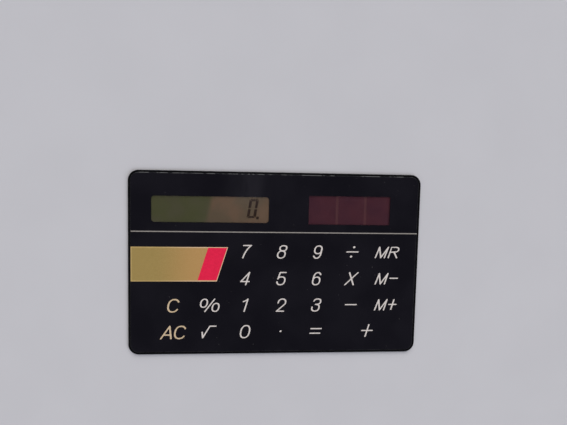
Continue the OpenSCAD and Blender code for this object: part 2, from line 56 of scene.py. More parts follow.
def toLinear(hexColour):  # "#rrggbb" as written on screen, to the linear values that nodes use
    channels = [int(hexColour[i:i + 2], 16) / 255 for i in (1, 3, 5)]
    return [c / 12.92 if c <= 0.04045 else ((c + 0.055) / 1.055) ** 2.4 for c in channels] + [1.0]


def setInputs(node, inputs):  # an input takes a value, a hex colour or a socket to link
    for name, value in inputs.items():
        if isinstance(value, bpy.types.NodeSocket):
            node.id_data.links.new(value, node.inputs[name])
        else:
            node.inputs[name].default_value = toLinear(value) if isinstance(value, str) else value


def addNode(tree, kind, inputs={}, settings={}, output=0):  # gives the output to link on
    node = tree.nodes.new(kind)
    for name, value in settings.items():
        setattr(node, name, value)
    setInputs(node, inputs)
    return node.outputs[output]


def newMaterial(name, constants={}):  # with its tree and its shader, whose constant inputs are set
    material = bpy.data.materials.new(name)
    material.use_nodes = True
    surface = material.node_tree.nodes["Principled BSDF"]
    setInputs(surface, constants)
    return material, material.node_tree, surface


colourMix = {"data_type": "RGBA"}  # a Mix node for colours: share in 0, colours in 6 and 7, result from 2
softRange = {"interpolation_type": "SMOOTHSTEP"}


def mottle(tree, size, low, high, least=0.0, most=1.0, detail=2, roughness=0.5, stretch=(1, 1, 1)):
    # Mottling of a size in millimetres: noise from low to high becomes a share from least to most
    place = addNode(tree, "ShaderNodeTexCoord", output="Object")
    place = addNode(tree, "ShaderNodeMapping", {"Vector": place, "Scale": stretch})
    look = {"Vector": place, "Scale": 1 / (size * mm), "Detail": detail, "Roughness": roughness}
    noise = addNode(tree, "ShaderNodeTexNoise", look)
    span = {"Value": noise, "From Min": low, "From Max": high, "To Min": least, "To Max": most}
    return addNode(tree, "ShaderNodeMapRange", span, softRange)


# Finishes of the face

def glossyFilm():  # polyester film, printed black behind: a deep gloss with faint smears and dust
    material, tree, surface = newMaterial("glossyFilm", {"IOR": 1.6})
    clouds = mottle(tree, 16, 0.35, 0.65, detail=3)
    black = addNode(tree, "ShaderNodeMix", {0: clouds, 6: "#131218", 7: "#18171d"}, colourMix, 2)
    # Specks of dust, a few tenths of a millimetre wide: only the peaks of this noise show
    dust = mottle(tree, 0.5, 0.81, 0.85, 0, 0.2, detail=1, roughness=0.3)
    dusty = addNode(tree, "ShaderNodeMix", {0: dust, 6: black, 7: "#8c8a88"}, colourMix, 2)
    # Finger smears 5 mm wide, and longer across the card than along it
    smears = mottle(tree, 5, 0.42, 0.72, 0.06, 0.15, detail=5, roughness=0.6, stretch=(1, 0.35, 1))
    # Waves of 3 micrometres, left by the lamination
    ripple = {"Height": mottle(tree, 7, 0.2, 0.8, detail=1), "Distance": 0.003 * mm}
    waves = addNode(tree, "ShaderNodeBump", ripple)
    setInputs(surface, {"Base Color": dusty, "Roughness": smears, "Normal": waves})
    return material


def filmEdge():  # where the film was die-cut: bright in places and rough in others
    material, tree, surface = newMaterial("filmEdge", {"Base Color": "#131217", "IOR": 1.6})
    # Smooth and torn stretches, and nicks of the die, both drawn longer than real ones so that they show
    burrs = mottle(tree, 2.2, 0.42, 0.6, 0.08, 0.7, detail=3, roughness=0.7)
    nicks = addNode(tree, "ShaderNodeBump", {"Height": mottle(tree, 1.2, 0.2, 0.8), "Distance": 0.015 * mm})
    setInputs(surface, {"Roughness": burrs, "Normal": nicks})
    return material


bronzeTints = {
    "reflectionSpan": (0.22, 0.72),  # shares of the badge's length, over which a painted reflection comes in
    "flakes": "#ecd6a4",
}


def screenInk(name, colour, worn, paintedReflection=None):  # screen-printed ink under the film's gloss, a little uneven
    constants = {"Roughness": 0.35, "Coat Weight": 0.6, "Coat Roughness": 0.08}
    material, tree, surface = newMaterial(name, constants)
    cover = mottle(tree, 0.5, 0.3, 0.7, detail=4)
    tone = addNode(tree, "ShaderNodeMix", {0: cover, 6: colour, 7: worn}, colourMix, 2)
    if paintedReflection:  # bronze powder: a painted reflection, lighter and warmer along the card, and flakes of 0.02 mm, drawn coarser so that they show
        low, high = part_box("badge_print")
        ends = [low.x + share * (high.x - low.x) for share in bronzeTints["reflectionSpan"]]
        place = addNode(tree, "ShaderNodeTexCoord", output="Object")
        along = addNode(tree, "ShaderNodeSeparateXYZ", {0: place})
        span = {"Value": along, "From Min": ends[0], "From Max": ends[1]}
        reflectionShare = addNode(tree, "ShaderNodeMapRange", span, softRange)
        tone = addNode(tree, "ShaderNodeMix", {0: reflectionShare, 6: tone, 7: paintedReflection}, colourMix, 2)
        flakes = mottle(tree, 0.1, 0.5, 0.75, 0, 0.3, detail=1)
        tone = addNode(tree, "ShaderNodeMix", {0: flakes, 6: tone, 7: bronzeTints["flakes"]}, colourMix, 2)
    mesh = {"Height": mottle(tree, 0.12, 0.2, 0.8), "Distance": 0.0015 * mm}  # left by the printing screen
    setInputs(surface, {"Base Color": tone, "Normal": addNode(tree, "ShaderNodeBump", mesh)})
    return material


def clearPane():  # the same polyester where nothing is printed: a Fresnel gloss over what lies behind
    mirror = {"Base Color": "#ffffff", "Roughness": 0.06, "Metallic": 1.0}
    material, tree, surface = newMaterial("clearPane", mirror)
    through = addNode(tree, "ShaderNodeBsdfTransparent", {"Color": (0.97, 0.97, 0.975, 1)})
    gloss = addNode(tree, "ShaderNodeFresnel", {"IOR": 1.6})
    inside = addNode(tree, "ShaderNodeNewGeometry", output="Backfacing")  # light leaving it isn't held in
    outside = addNode(tree, "ShaderNodeMath", {0: 1.0, 1: inside}, {"operation": "SUBTRACT"})
    share = addNode(tree, "ShaderNodeMath", {0: gloss, 1: outside}, {"operation": "MULTIPLY"})
    both = addNode(tree, "ShaderNodeMixShader", {0: share, 1: through, 2: surface.outputs[0]})
    setInputs(tree.nodes["Material Output"], {"Surface": both})
    return material


displayTints = {
    "cool": "#484a2d",
    # the colour of a painted reflection on the cell's right part
    "reflectedTint": "#6b5543",
    "cloud": "#4e4a3a",
    # lighter specks: the reflector's sparkle, painted
    "grain": "#7c7660",
    "shade": "#22221c",
    "reflectionSpan": (0.462, 0.515),  # shares of the cell's length, at mid height, over which the painted reflection comes in
    "turnLeans": 0.2,  # how far this change leans, for each unit of height
    "shadeFrom": 0.75,  # share of the cell's height
    "shadeStrength": 0.3,
}


def displayPolariser():  # reflective liquid crystal cell at rest: olive, with a painted reflection that makes it warmer towards the digit's end
    material, tree, surface = newMaterial("displayPolariser")
    low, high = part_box("display_front_polariser")
    length, height = high.x - low.x, high.y - low.y
    middle = displayTints["turnLeans"] * (low.y + high.y) / 2
    place = addNode(tree, "ShaderNodeTexCoord", output="Object")
    along = addNode(tree, "ShaderNodeSeparateXYZ", {0: place})
    upward = along.node.outputs[1]
    lean = {0: upward, 1: -displayTints["turnLeans"], 2: along}
    leaning = addNode(tree, "ShaderNodeMath", lean, {"operation": "MULTIPLY_ADD"})
    ends = [low.x + share * length - middle for share in displayTints["reflectionSpan"]]
    span = {"Value": leaning, "From Min": ends[0], "From Max": ends[1]}
    # painted reflection: the olive cell turns to the reflected tint, along a line that leans with height
    reflectionShare = addNode(tree, "ShaderNodeMapRange", span, softRange)
    tone = {0: reflectionShare, 6: displayTints["cool"], 7: displayTints["reflectedTint"]}
    tone = addNode(tree, "ShaderNodeMix", tone, colourMix, 2)
    clouds = mottle(tree, 7, 0.4, 0.62, 0, 0.5)
    tone = addNode(tree, "ShaderNodeMix", {0: clouds, 6: tone, 7: displayTints["cloud"]}, colourMix, 2)
    # The reflector's grain, with its sparkle painted as lighter specks (painted glints), 0.05 mm in a real
    # one, drawn coarser so that it shows
    grain = mottle(tree, 0.3, 0.35, 0.65, 0, 0.1, detail=3)
    tone = addNode(tree, "ShaderNodeMix", {0: grain, 6: tone, 7: displayTints["grain"]}, colourMix, 2)
    start = low.y + displayTints["shadeFrom"] * height
    span = {"Value": upward, "From Min": start, "From Max": high.y, "To Max": displayTints["shadeStrength"]}
    shade = addNode(tree, "ShaderNodeMapRange", span, softRange)  # the window's upper edge shades the cell
    tone = addNode(tree, "ShaderNodeMix", {0: shade, 6: tone, 7: displayTints["shade"]}, colourMix, 2)
    setInputs(surface, {"Base Color": tone, "Roughness": mottle(tree, 2.5, 0.3, 0.7, 0.38, 0.5)})
    return material


def displaySegment():  # the driven liquid crystal: dark, with the reflector's tint coming through
    material, tree, surface = newMaterial("displaySegment", {"Roughness": 0.5})
    cover = mottle(tree, 0.4, 0.3, 0.7, detail=3)
    tone = addNode(tree, "ShaderNodeMix", {0: cover, 6: "#2a1c15", 7: "#33241b"}, colourMix, 2)
    setInputs(surface, {"Base Color": tone})
    return material


def solarFilm(name, colour, second):  # amorphous silicon on its film: dark red brown, faintly cloudy
    material, tree, surface = newMaterial(name, {"IOR": 1.5})
    clouds = mottle(tree, 6, 0.3, 0.7, detail=3)
    tone = addNode(tree, "ShaderNodeMix", {0: clouds, 6: colour, 7: second}, colourMix, 2)
    setInputs(surface, {"Base Color": tone, "Roughness": mottle(tree, 1.2, 0.3, 0.7, 0.3, 0.4)})
    return material


# Finishes of the frame, the back and the inside

def rimPlastic():  # ABS moulded black, polished by handling
    material, tree, surface = newMaterial("rimPlastic", {"IOR": 1.5})
    clouds = mottle(tree, 6, 0.2, 0.8, detail=3)
    tone = addNode(tree, "ShaderNodeMix", {0: clouds, 6: "#0a0a0c", 7: "#101013"}, colourMix, 2)
    polish = mottle(tree, 1.5, 0.35, 0.7, 0.12, 0.2, detail=4)
    # The mould's spark-eroded texture, 0.03 mm in a real one, drawn coarser so that it shows
    sparks = {"Height": mottle(tree, 0.15, 0.2, 0.8), "Distance": 0.001 * mm}
    texture = addNode(tree, "ShaderNodeBump", sparks)
    setInputs(surface, {"Base Color": tone, "Roughness": polish, "Normal": texture})
    return material


def brushedSteel():  # stainless sheet brushed along the card: fine lines, a satin sheen across them
    material, tree, surface = newMaterial("brushedSteel", {"Metallic": 1.0, "Anisotropic": 0.6})
    # Lines of 0.12 mm, a hundred times as long: real ones are finer, and wouldn't show
    lines = mottle(tree, 0.12, 0.2, 0.8, detail=4, roughness=0.7, stretch=(0.01, 1, 1))
    tone = addNode(tree, "ShaderNodeMix", {0: lines, 6: "#8f9093", 7: "#c2c3c5"}, colourMix, 2)
    satin = addNode(tree, "ShaderNodeMapRange", {"Value": lines, "To Min": 0.24, "To Max": 0.4})
    grooves = addNode(tree, "ShaderNodeBump", {"Height": lines, "Distance": 0.0015 * mm})
    setInputs(surface, {"Base Color": tone, "Roughness": satin, "Normal": grooves})
    return material


def plainSheet(name, colour, second, size, roughness, metallic=0.0):  # a finish with patches of this size
    material, tree, surface = newMaterial(name, {"Metallic": metallic})
    clouds = mottle(tree, size, 0.35, 0.65, detail=3)
    tone = addNode(tree, "ShaderNodeMix", {0: clouds, 6: colour, 7: second}, colourMix, 2)
    polish = mottle(tree, size / 3, 0.3, 0.7, roughness - 0.06, roughness + 0.06)
    setInputs(surface, {"Base Color": tone, "Roughness": polish})
    return material


def paintedFloor():  # matt pale paint, and open from below, so that the card's back can be seen
    material, tree, surface = newMaterial("paintedFloor", {"Roughness": 0.9})
    clouds = mottle(tree, 25, 0.3, 0.7, detail=3)
    tone = addNode(tree, "ShaderNodeMix", {0: clouds, 6: "#c2c2c7", 7: "#c4c4c9"}, colourMix, 2)
    setInputs(surface, {"Base Color": tone})
    below = addNode(tree, "ShaderNodeNewGeometry", output="Backfacing")
    # Rays that come from the card's back, a hair over the floor, pass too, and so light gets to it
    length = addNode(tree, "ShaderNodeLightPath", output="Ray Length")
    near = addNode(tree, "ShaderNodeMath", {0: length, 1: 0.1 * mm}, {"operation": "LESS_THAN"})
    below = addNode(tree, "ShaderNodeMath", {0: below, 1: near}, {"operation": "MAXIMUM"})
    openSide = addNode(tree, "ShaderNodeBsdfTransparent")
    both = addNode(tree, "ShaderNodeMixShader", {0: below, 1: surface.outputs[0], 2: openSide})
    setInputs(tree.nodes["Material Output"], {"Surface": both})
    return material


finishes = {
    "film": glossyFilm(),
    "edge": filmEdge(),
    "pane": clearPane(),
    # The gold inks' last colour is a painted reflection, lighter and warmer towards the badge's right end
    "gold": screenInk("goldInk", "#978048", "#9d854c", paintedReflection="#b28a54"),
    "paleGold": screenInk("paleGoldInk", "#b89d62", "#c0a66c", paintedReflection="#dabb98"),
    "red": screenInk("redInk", "#ea1f4b", "#e01a44"),
    "white": screenInk("whiteInk", "#dbd4d0", "#cec7c3"),
    "line": screenInk("lineInk", "#9a9590", "#8e8984"),
    "beige": screenInk("beigeInk", "#d2bda0", "#c4ad8c"),
    "polariser": displayPolariser(),
    "segment": displaySegment(),
    "cells": solarFilm("solarCells", "#4d2831", "#462530"),
    "solarBase": solarFilm("solarBase", "#593539", "#533337"),
    "rim": rimPlastic(),
    "steel": brushedSteel(),
    # Rolled on as a sheet: straw yellow and dull
    "adhesive": plainSheet("acrylicAdhesive", "#cfc59e", "#d9d0ac", 3, 0.55),
    # Cast film: amber, with a soft gloss
    "polyimide": plainSheet("polyimideFilm", "#a8641f", "#b8752c", 5, 0.3),
    # Rolled foil, etched: satin, a little tarnished
    "copper": plainSheet("etchedCopper", "#b06d48", "#c58560", 1, 0.35, metallic=1.0),
    # Carbon paste, screen-printed and baked: flat and nearly black
    "carbon": plainSheet("carbonInk", "#27272a", "#303034", 0.4, 0.6),
    # Drawn polyester with a filler: milky
    "spacer": plainSheet("spacerPolyester", "#d8d8d4", "#e6e6e2", 4, 0.45),
    # Thick black ink behind the film: even and dull
    "mask": plainSheet("maskInk", "#0f0f13", "#15151a", 2, 0.5),
    # The films of the liquid crystal cell: a greenish grey with some gloss
    "cellFilm": plainSheet("cellPolyester", "#9aa48a", "#a8b198", 3, 0.25),
    # Epoxy with spacers in it, printed round the cell: grey and fine grained
    "seal": plainSheet("cellSeal", "#45454a", "#505056", 0.8, 0.5),
    # Silver ink on amber film, hot-pressed
    "ribbon": plainSheet("connectorRibbon", "#b87f38", "#c98f48", 0.6, 0.4),
    # Copper foil dipped in tin: bright and slightly frosted
    "foil": plainSheet("tinnedFoil", "#b4b4b8", "#cacace", 0.5, 0.32, metallic=1.0),
    # The ground back of a silicon chip: blue grey, nearly polished
    "silicon": plainSheet("siliconDie", "#2b2f34", "#363b42", 1, 0.2),
    # Plated gold bumps under the chip
    "goldPad": plainSheet("goldBumps", "#c9a24a", "#dcb864", 0.1, 0.3, metallic=1.0),
    # Poured epoxy: black, glossy where it ran
    "resin": plainSheet("chipResin", "#141416", "#1d1d20", 1.2, 0.28),
    # Fired ceramic: tan and matt
    "ceramic": plainSheet("capacitorCeramic", "#a97a3a", "#ba8a48", 0.5, 0.6),
}
print("materials made:", len(finishes))

# What each solid that stays in sight, or inside, is made of
solidFinishes = {
    "frame": "rim",
    "back_plate": "steel",
    "rear_adhesive": "adhesive",
    "film_adhesive": "adhesive",
    "circuit_film": "polyimide",
    "row_conductors": "carbon",
    "column_combs": "carbon",
    "column_conductors": "copper",
    "power_conductors": "copper",
    "display_conductors": "copper",
    "conductor_plugs": "carbon",
    "spacer_film": "spacer",
    "contact_film": "spacer",
    "face_mask": "mask",
    "display_rear_polariser": "cellFilm",
    "display_rear_substrate": "cellFilm",
    "display_seal": "seal",
    "display_crystal": "cellFilm",
    "display_front_substrate": "cellFilm",
    "display_front_polariser": "polariser",
    "display_connector": "ribbon",
    "solar_substrate": "solarBase",
    "solar_bus_bars": "foil",
    "solar_leads": "foil",
    "processor_chip": "silicon",
    "chip_bumps": "goldPad",
    "chip_resin": "resin",
    "component_bodies": "ceramic",
    "component_terminals": "foil",
}
for name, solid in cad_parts.items():
    finish = "carbon" if name.startswith("key_") else solidFinishes.get(name)
    if finish:
        for place in solid.material_slots:
            place.material = finishes[finish]
print("solids dressed:", len(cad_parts))


# Tools for modelling

def boxOf(node):  # a solid's lowest and highest corner in millimetres
    return [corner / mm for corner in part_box(node)]


def selectOnly(piece):
    bpy.ops.object.select_all(action="DESELECT")
    piece.select_set(True)
    bpy.context.view_layer.objects.active = piece


def addSheet(name, low, high, radius=0.0, steps=10):  # a plane at the top, its corners rounded, drawn down
    bpy.ops.object.select_all(action="DESELECT")
    bpy.ops.mesh.primitive_plane_add(size=1)
    piece = bpy.context.object
    piece.name = name
    bpy.ops.object.mode_set(mode="EDIT")
    bpy.ops.transform.resize(value=(high[0] - low[0], high[1] - low[1], 1))
    bpy.ops.transform.translate(value=((low[0] + high[0]) / 2, (low[1] + high[1]) / 2, high[2]))
    if radius:
        bpy.ops.mesh.bevel(offset=radius, segments=steps, affect="VERTICES")
    drawDown(high[2] - low[2])
    bpy.ops.object.mode_set(mode="OBJECT")
    return piece


def drawDown(depth):  # the selected faces become closed slabs below their place
    bpy.ops.mesh.extrude_region_move(TRANSFORM_OT_translate={"value": (0, 0, -depth)})
    bpy.ops.mesh.select_all(action="SELECT")
    bpy.ops.mesh.normals_make_consistent(inside=False)


def facesUp(polygon):
    return polygon.normal.z > 0.9


def selectFaces(piece, wanted):  # for the next step in edit mode
    selectOnly(piece)
    bpy.ops.object.mode_set(mode="EDIT")
    bpy.ops.mesh.select_mode(type="FACE")
    bpy.ops.mesh.select_all(action="DESELECT")
    bpy.ops.object.mode_set(mode="OBJECT")
    for polygon in piece.data.polygons:
        polygon.select = wanted(polygon)


def joinPieces(pieces):
    selectOnly(pieces[0])
    for piece in pieces[1:]:
        piece.select_set(True)
    bpy.ops.object.join()
    return pieces[0]


def cutWith(piece, cutters):  # cutters are joined, taken out of the piece, and deleted
    cutter = joinPieces(cutters)
    selectOnly(piece)
    cut = piece.modifiers.new("cut", "BOOLEAN")
    cut.operation = "DIFFERENCE"
    cut.solver = "EXACT"
    cut.object = cutter
    bpy.ops.object.modifier_apply(modifier=cut.name)
    bpy.data.objects.remove(cutter)


def slantPiece(piece, degrees):  # leans the piece to the right about its origin
    for vertex in piece.data.vertices:
        vertex.co.x += vertex.co.y * math.tan(math.radians(degrees))


def toMetres(piece, *materials):  # the finished piece at its real size, with its finish
    selectOnly(piece)
    piece.scale = (mm, mm, mm)
    bpy.ops.object.transform_apply(location=True, rotation=True, scale=True)
    piece.data.materials.clear()
    for material in materials:
        piece.data.materials.append(finishes[material])
    return piece


# The face film, with its windows, and the patches of it over the keys, whose middles ride on the keys

faceValues = {
    "cornerRadius": 2.41,
    "cornerSteps": 14,
    "top": 0.790,  # just under the rim
    "cutEdge": (0.18, 0.08),  # how far the outer edge leans in, and its depth
    "displayEdge": 0.7,  # the cell's clear area runs this far in behind the mask
    "displayRadius": 0.9,
    "displaySteps": 8,
    "solarEdge": 1.0,
    "patchLength": 10.2,
    "patchWidth": 7.6,
    "patchBorder": 1.1,  # width of film that bends round a key
    "patchThickness": 0.05,
    "borderCuts": 5,  # cuts across it, so that it can bend
}

filmLow, filmHigh = boxOf("face_film")
faceTop = faceValues["top"]
keyNames = [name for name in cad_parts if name.startswith("key_")]


def insetBox(node, edge):  # a solid's outline, taken in by an edge, at the height of the face film
    low, high = boxOf(node)
    return (low.x + edge, low.y + edge, filmLow.z), (high.x - edge, high.y - edge, faceTop)


def keyCentre(key):
    low, high = boxOf(key)
    return (low + high) / 2


def addCutter(low, high, radius=0.0, steps=10):  # runs 1 mm past both faces of what it cuts
    return addSheet("cutter", (low[0], low[1], low[2] - 1), (high[0], high[1], high[2] + 1), radius, steps)


displayWindow = insetBox("display_crystal", faceValues["displayEdge"])
solarWindow = insetBox("solar_substrate", faceValues["solarEdge"])

lean, depth = faceValues["cutEdge"]
filmShoulder = (filmHigh.x, filmHigh.y, faceTop - depth)
faceCorners = faceValues["cornerRadius"], faceValues["cornerSteps"]
face = addSheet("face_film_print", filmLow, filmShoulder, *faceCorners)
selectFaces(face, facesUp)
bpy.ops.object.mode_set(mode="EDIT")
bpy.ops.mesh.inset(thickness=lean, depth=depth)
bpy.ops.object.mode_set(mode="OBJECT")
displayCorners = faceValues["displayRadius"], faceValues["displaySteps"]
cutters = [addCutter(*displayWindow, *displayCorners), addCutter(*solarWindow)]
halfPatch = Vector((faceValues["patchLength"], faceValues["patchWidth"], 0)) / 2
for key in keyNames:
    cutters.append(addCutter(keyCentre(key) - halfPatch, keyCentre(key) + halfPatch))
cutWith(face, cutters)
toMetres(face, "film", "edge")
for polygon in face.data.polygons:  # the leaning ones are the cut edge
    polygon.material_index = 1 if 0.1 < polygon.normal.z < 0.99 else 0
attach(face, "card")
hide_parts("face_film")

displayPane = addSheet("display_window_pane", *displayWindow, *displayCorners)
solarPane = addSheet("solar_window_pane", *solarWindow)
for pane in (displayPane, solarPane):
    toMetres(pane, "pane")
    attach(pane, "card")
print("face film cut:", len(face.data.polygons), "faces")


def sideOf(middle):  # which part of a key's film has its middle here
    if middle.xy.length < 1:
        return "middle"
    if abs(middle.x) > abs(middle.y):
        return "right" if middle.x > 0 else "left"
    return "top" if middle.y > 0 else "bottom"


def addKeyFilms():  # one key's film: a plane inset to a middle and four borders, split, and drawn down
    bpy.ops.object.select_all(action="DESELECT")
    bpy.ops.mesh.primitive_plane_add(size=1)
    bpy.ops.object.mode_set(mode="EDIT")
    bpy.ops.transform.resize(value=(faceValues["patchLength"], faceValues["patchWidth"], 1))
    bpy.ops.transform.translate(value=(0, 0, faceTop))
    bpy.ops.mesh.inset(thickness=faceValues["patchBorder"], use_even_offset=True)
    bpy.ops.mesh.select_all(action="SELECT")
    bpy.ops.mesh.edge_split(type="EDGE")
    bpy.ops.mesh.separate(type="LOOSE")
    bpy.ops.object.mode_set(mode="OBJECT")
    films = {}
    for part in list(bpy.context.selected_objects):
        selectOnly(part)
        side = sideOf(sum((vertex.co for vertex in part.data.vertices), Vector()) / len(part.data.vertices))
        bpy.ops.object.mode_set(mode="EDIT")
        bpy.ops.mesh.select_all(action="SELECT")
        if side != "middle":
            bpy.ops.mesh.subdivide(number_cuts=faceValues["borderCuts"])
        drawDown(faceValues["patchThickness"])
        bpy.ops.object.mode_set(mode="OBJECT")
        bpy.ops.object.shade_smooth_by_angle(angle=smoothAngle)
        films[side] = toMetres(part, "film")
    return films


def copyTo(piece, name, centre):  # a copy with a mesh of its own, moved in its mesh
    copy = piece.copy()
    copy.data = piece.data.copy()
    copy.name = name
    bpy.context.collection.objects.link(copy)
    for vertex in copy.data.vertices:
        vertex.co.x += centre.x * mm
        vertex.co.y += centre.y * mm
    return copy


keyFilms = addKeyFilms()
for key in keyNames:
    centre = keyCentre(key)
    for side, film in keyFilms.items():
        part = copyTo(film, f"{key}_film_{side}", centre)
        if side == "middle":
            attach(part, key)
        else:  # a border is baked in place, on no body
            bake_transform(part)
for film in keyFilms.values():
    bpy.data.objects.remove(film)
print("key patches made:", len(keyNames))


# Legends: strokes of one width with round ends, upright about the key's centre, then slanted

legendValues = {
    "strokeWidth": 0.44,
    "goldWidth": 0.5,
    "levelStroke": 0.82,  # a level stroke's width, as a share of an upright one's
    "slant": 16.5,  # degrees from upright
    "lift": 0.05,  # up the card from the key's centre
    "goldLift": -0.05,
    "height": 0.007,  # of the bead, over the film
    "penSteps": 2,  # roundness of the pen
    "capTurns": (84, 62, 40, 20),  # degrees at which a round end has its points
    "dotReach": 0.01,  # a dot is a stroke that reaches this far up and down
    "grain": 0.055,  # size of the mesh that joins the strokes
    "capHeight": 1.84,  # half of it, to the middle of the stroke
    "memoryHeight": 1.58,
    "fullness": 0.86,  # 1 for round bowls, less for squarer ones
    "bowlLean": 0.11,  # bowls lean back by this share of their height, and so slant less than the stems
}
top = legendValues["capHeight"]
small = legendValues["memoryHeight"]


def arc(x, y, radiusX, radiusY, start, stop, bowl=True):  # points some 10 degrees apart, or closer
    steps = max(8, round(abs(stop - start) / 10))
    points = []
    for i in range(steps + 1):
        turn = math.radians(start + (stop - start) * i / steps)
        across, upward = math.cos(turn), math.sin(turn)
        if bowl:
            across = math.copysign(abs(across) ** legendValues["fullness"], across)
            upward = math.copysign(abs(upward) ** legendValues["fullness"], upward)
            across -= legendValues["bowlLean"] * upward * radiusY / radiusX
        points.append((x + radiusX * across, y + radiusY * upward))
    return points


def oval(x, y, radiusX, radiusY):
    return arc(x, y, radiusX, radiusY, 0, 360)


def moved(strokes, x):
    return [[(point[0] + x, point[1]) for point in stroke] for stroke in strokes]


def letterM(footLeft, topLeft, dip, topRight, footRight):
    return [
        [(footLeft, -small), (topLeft, small)],
        [(topLeft, small), (dip, -small)],
        [(dip, -small), (topRight, small)],
        [(topRight, small), (footRight, -small)],
    ]


def bar(left, right, y):
    return [(left, y), (right, y)]


letterC = [arc(0.1, 0, 1.5, top, 35, 325)]
letterA = [
    [(-1.48, -top), (0, top)],
    [(0, top), (1.45, -top)],
    bar(-1.0, 1.0, -0.75),
]
letterR = [
    [(0.87, -small), (0.87, small)] + arc(2.3, 0.88, 0.95, small - 0.88, 90, -90) + [(0.97, 0.09)],
    [(2.1, 0.09), (3.42, -small)],
]
legends = {
    "key_0": [oval(0, 0, 1.28, top)],
    "key_1": [[(0.15, -top), (0.15, top)], [(0.15, top), (-0.35, 1.35), (-0.95, 1.08)]],
    "key_2": [arc(0, 0.78, 1.08, top - 0.78, 185, -20) + [(-0.8, -top)], bar(-0.8, 1.28, -top)],
    "key_3": [
        arc(0, 1.03, 1.02, top - 1.03, 170, -90) + [(-0.25, 0.19)],
        arc(0.05, -0.84, 1.08, top - 0.84, 90, -190),
    ],
    "key_4": [[(0.5, -top), (0.5, top)], [(0.5, top), (-1.22, -0.89)], bar(-1.22, 1.15, -0.89)],
    "key_5": [
        bar(-0.98, 0.7, top),
        [(-0.98, top), (-1.05, -0.1)],
        arc(0, -0.66, 1.13, top - 0.66, 152, -168),
    ],
    "key_6": [oval(0, 1.15 - top, 1.04, 1.15), arc(0, 0, 1.1, top, 38, 200)],
    "key_7": [bar(-1.34, 0.86, top), arc(2.5, -top, 2.95, 4.4, 123, 180, bowl=False)],
    "key_8": [oval(0, 1.08, 0.98, top - 1.08), oval(0, -0.79, 1.08, top - 0.79)],
    "key_9": [oval(0, top - 1.15, 1.04, 1.15), arc(0, 0, 1.1, top, -142, 20)],
    "key_point": [],
    "key_divide": [bar(-1.72, 1.58, 0.12)],
    "key_multiply": [[(-1.5, -top), (1.3, top)], [(-1.25, top), (1.05, -top)]],
    "key_minus": [bar(-1.66, 1.57, 0.07)],
    "key_plus": [bar(-1.65, 1.5, 0.07), [(-0.07, -1.75), (-0.07, 1.85)]],
    "key_equals": [bar(-1.6, 1.5, 0.76), bar(-1.45, 1.5, -0.64)],
    "key_percent": [
        oval(-1.8, 0.63, 0.94, 1.2),
        oval(1.95, -0.62, 0.94, 1.2),
        [(-0.8, -top), (0.92, top)],
    ],
    "key_square_root": [
        [(-2.05, -0.1), (-1.4, -1.75)],
        [(-1.4, -1.75), (-0.35, 1.72)],
        bar(-0.35, 1.4, 1.72),
    ],
    "key_memory_recall": letterM(-3.1, -2.82, -1.45, -0.12, -0.35) + letterR,
    "key_memory_minus": letterM(-2.85, -2.6, -1.3, 0.02, -0.02) + [bar(1.15, 3.4, 0.15)],
    "key_memory_plus": letterM(-2.75, -2.5, -1.25, 0.05, 0.02) + [
        bar(1.12, 3.28, 0.1),
        [(2.2, -1.4), (2.2, 1.55)],
    ],
    "key_clear": letterC,
    "key_all_clear": moved(letterA, -1.5) + moved(letterC, 1.98),
}
dots = {  # round dots: place and radius
    "key_point": [(0, 0.05, 0.33)],
    "key_divide": [(0, 1.52, 0.36), (-0.03, -1.3, 0.36)],
}
goldLegends = ("key_clear", "key_all_clear")


def addLegend(key):
    inGold = key in goldLegends
    radius = legendValues["goldWidth" if inGold else "strokeWidth"] / 2
    lift = legendValues["goldLift" if inGold else "lift"]
    path = bpy.data.curves.new(key, "CURVE")
    path.dimensions = "3D"
    path.bevel_depth = 1.0
    path.bevel_resolution = legendValues["penSteps"]
    path.use_fill_caps = True
    flatter = legendValues["levelStroke"]  # drawn tall with a round pen, then brought to height
    for stroke in legends[key]:
        stroke = [(x, y / flatter) for x, y in stroke]
        closed = math.dist(stroke[0], stroke[-1]) < 0.01
        addStroke(path, stroke[:-1] if closed else roundEnds(stroke, radius), radius, closed)
    reach = legendValues["dotReach"]
    for x, y, size in dots.get(key, []):
        addStroke(path, roundEnds([(x, y / flatter - reach), (x, y / flatter + reach)], size), size, False)
    legend = bpy.data.objects.new(f"{key}_legend", path)
    bpy.context.collection.objects.link(legend)
    selectOnly(legend)
    bpy.ops.object.convert(target="MESH")
    join = legend.modifiers.new("join", "REMESH")
    join.mode = "VOXEL"
    join.voxel_size = legendValues["grain"]
    bpy.ops.object.modifier_apply(modifier=join.name)
    centre = keyCentre(key)
    stands = max(vertex.co.z for vertex in legend.data.vertices)
    bpy.ops.object.mode_set(mode="EDIT")
    bpy.ops.mesh.select_all(action="SELECT")  # flattened to a low bead, its lower half in the film
    bpy.ops.transform.resize(value=(1, flatter, legendValues["height"] / stands), center_override=(0, 0, 0))
    bpy.ops.object.mode_set(mode="OBJECT")
    slantPiece(legend, legendValues["slant"])
    bpy.ops.object.mode_set(mode="EDIT")
    bpy.ops.transform.translate(value=(centre.x, centre.y + lift, faceTop))
    bpy.ops.object.mode_set(mode="OBJECT")
    bpy.ops.object.shade_smooth_by_angle(angle=smoothAngle)
    toMetres(legend, "beige" if inGold else "white")
    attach(legend, key)
    return legend


def roundEnds(stroke, radius):  # points with a share of the width, which shrinks round both ends
    def cap(end, inner):
        back = (Vector(end) - Vector(inner)).normalized()
        turns = [math.radians(turn) for turn in legendValues["capTurns"]]
        return [(*(Vector(end) + back * radius * math.sin(turn)), math.cos(turn)) for turn in turns]
    points = [(x, y, 1.0) for x, y in stroke]
    return cap(stroke[0], stroke[1]) + points + cap(stroke[-1], stroke[-2])[::-1]


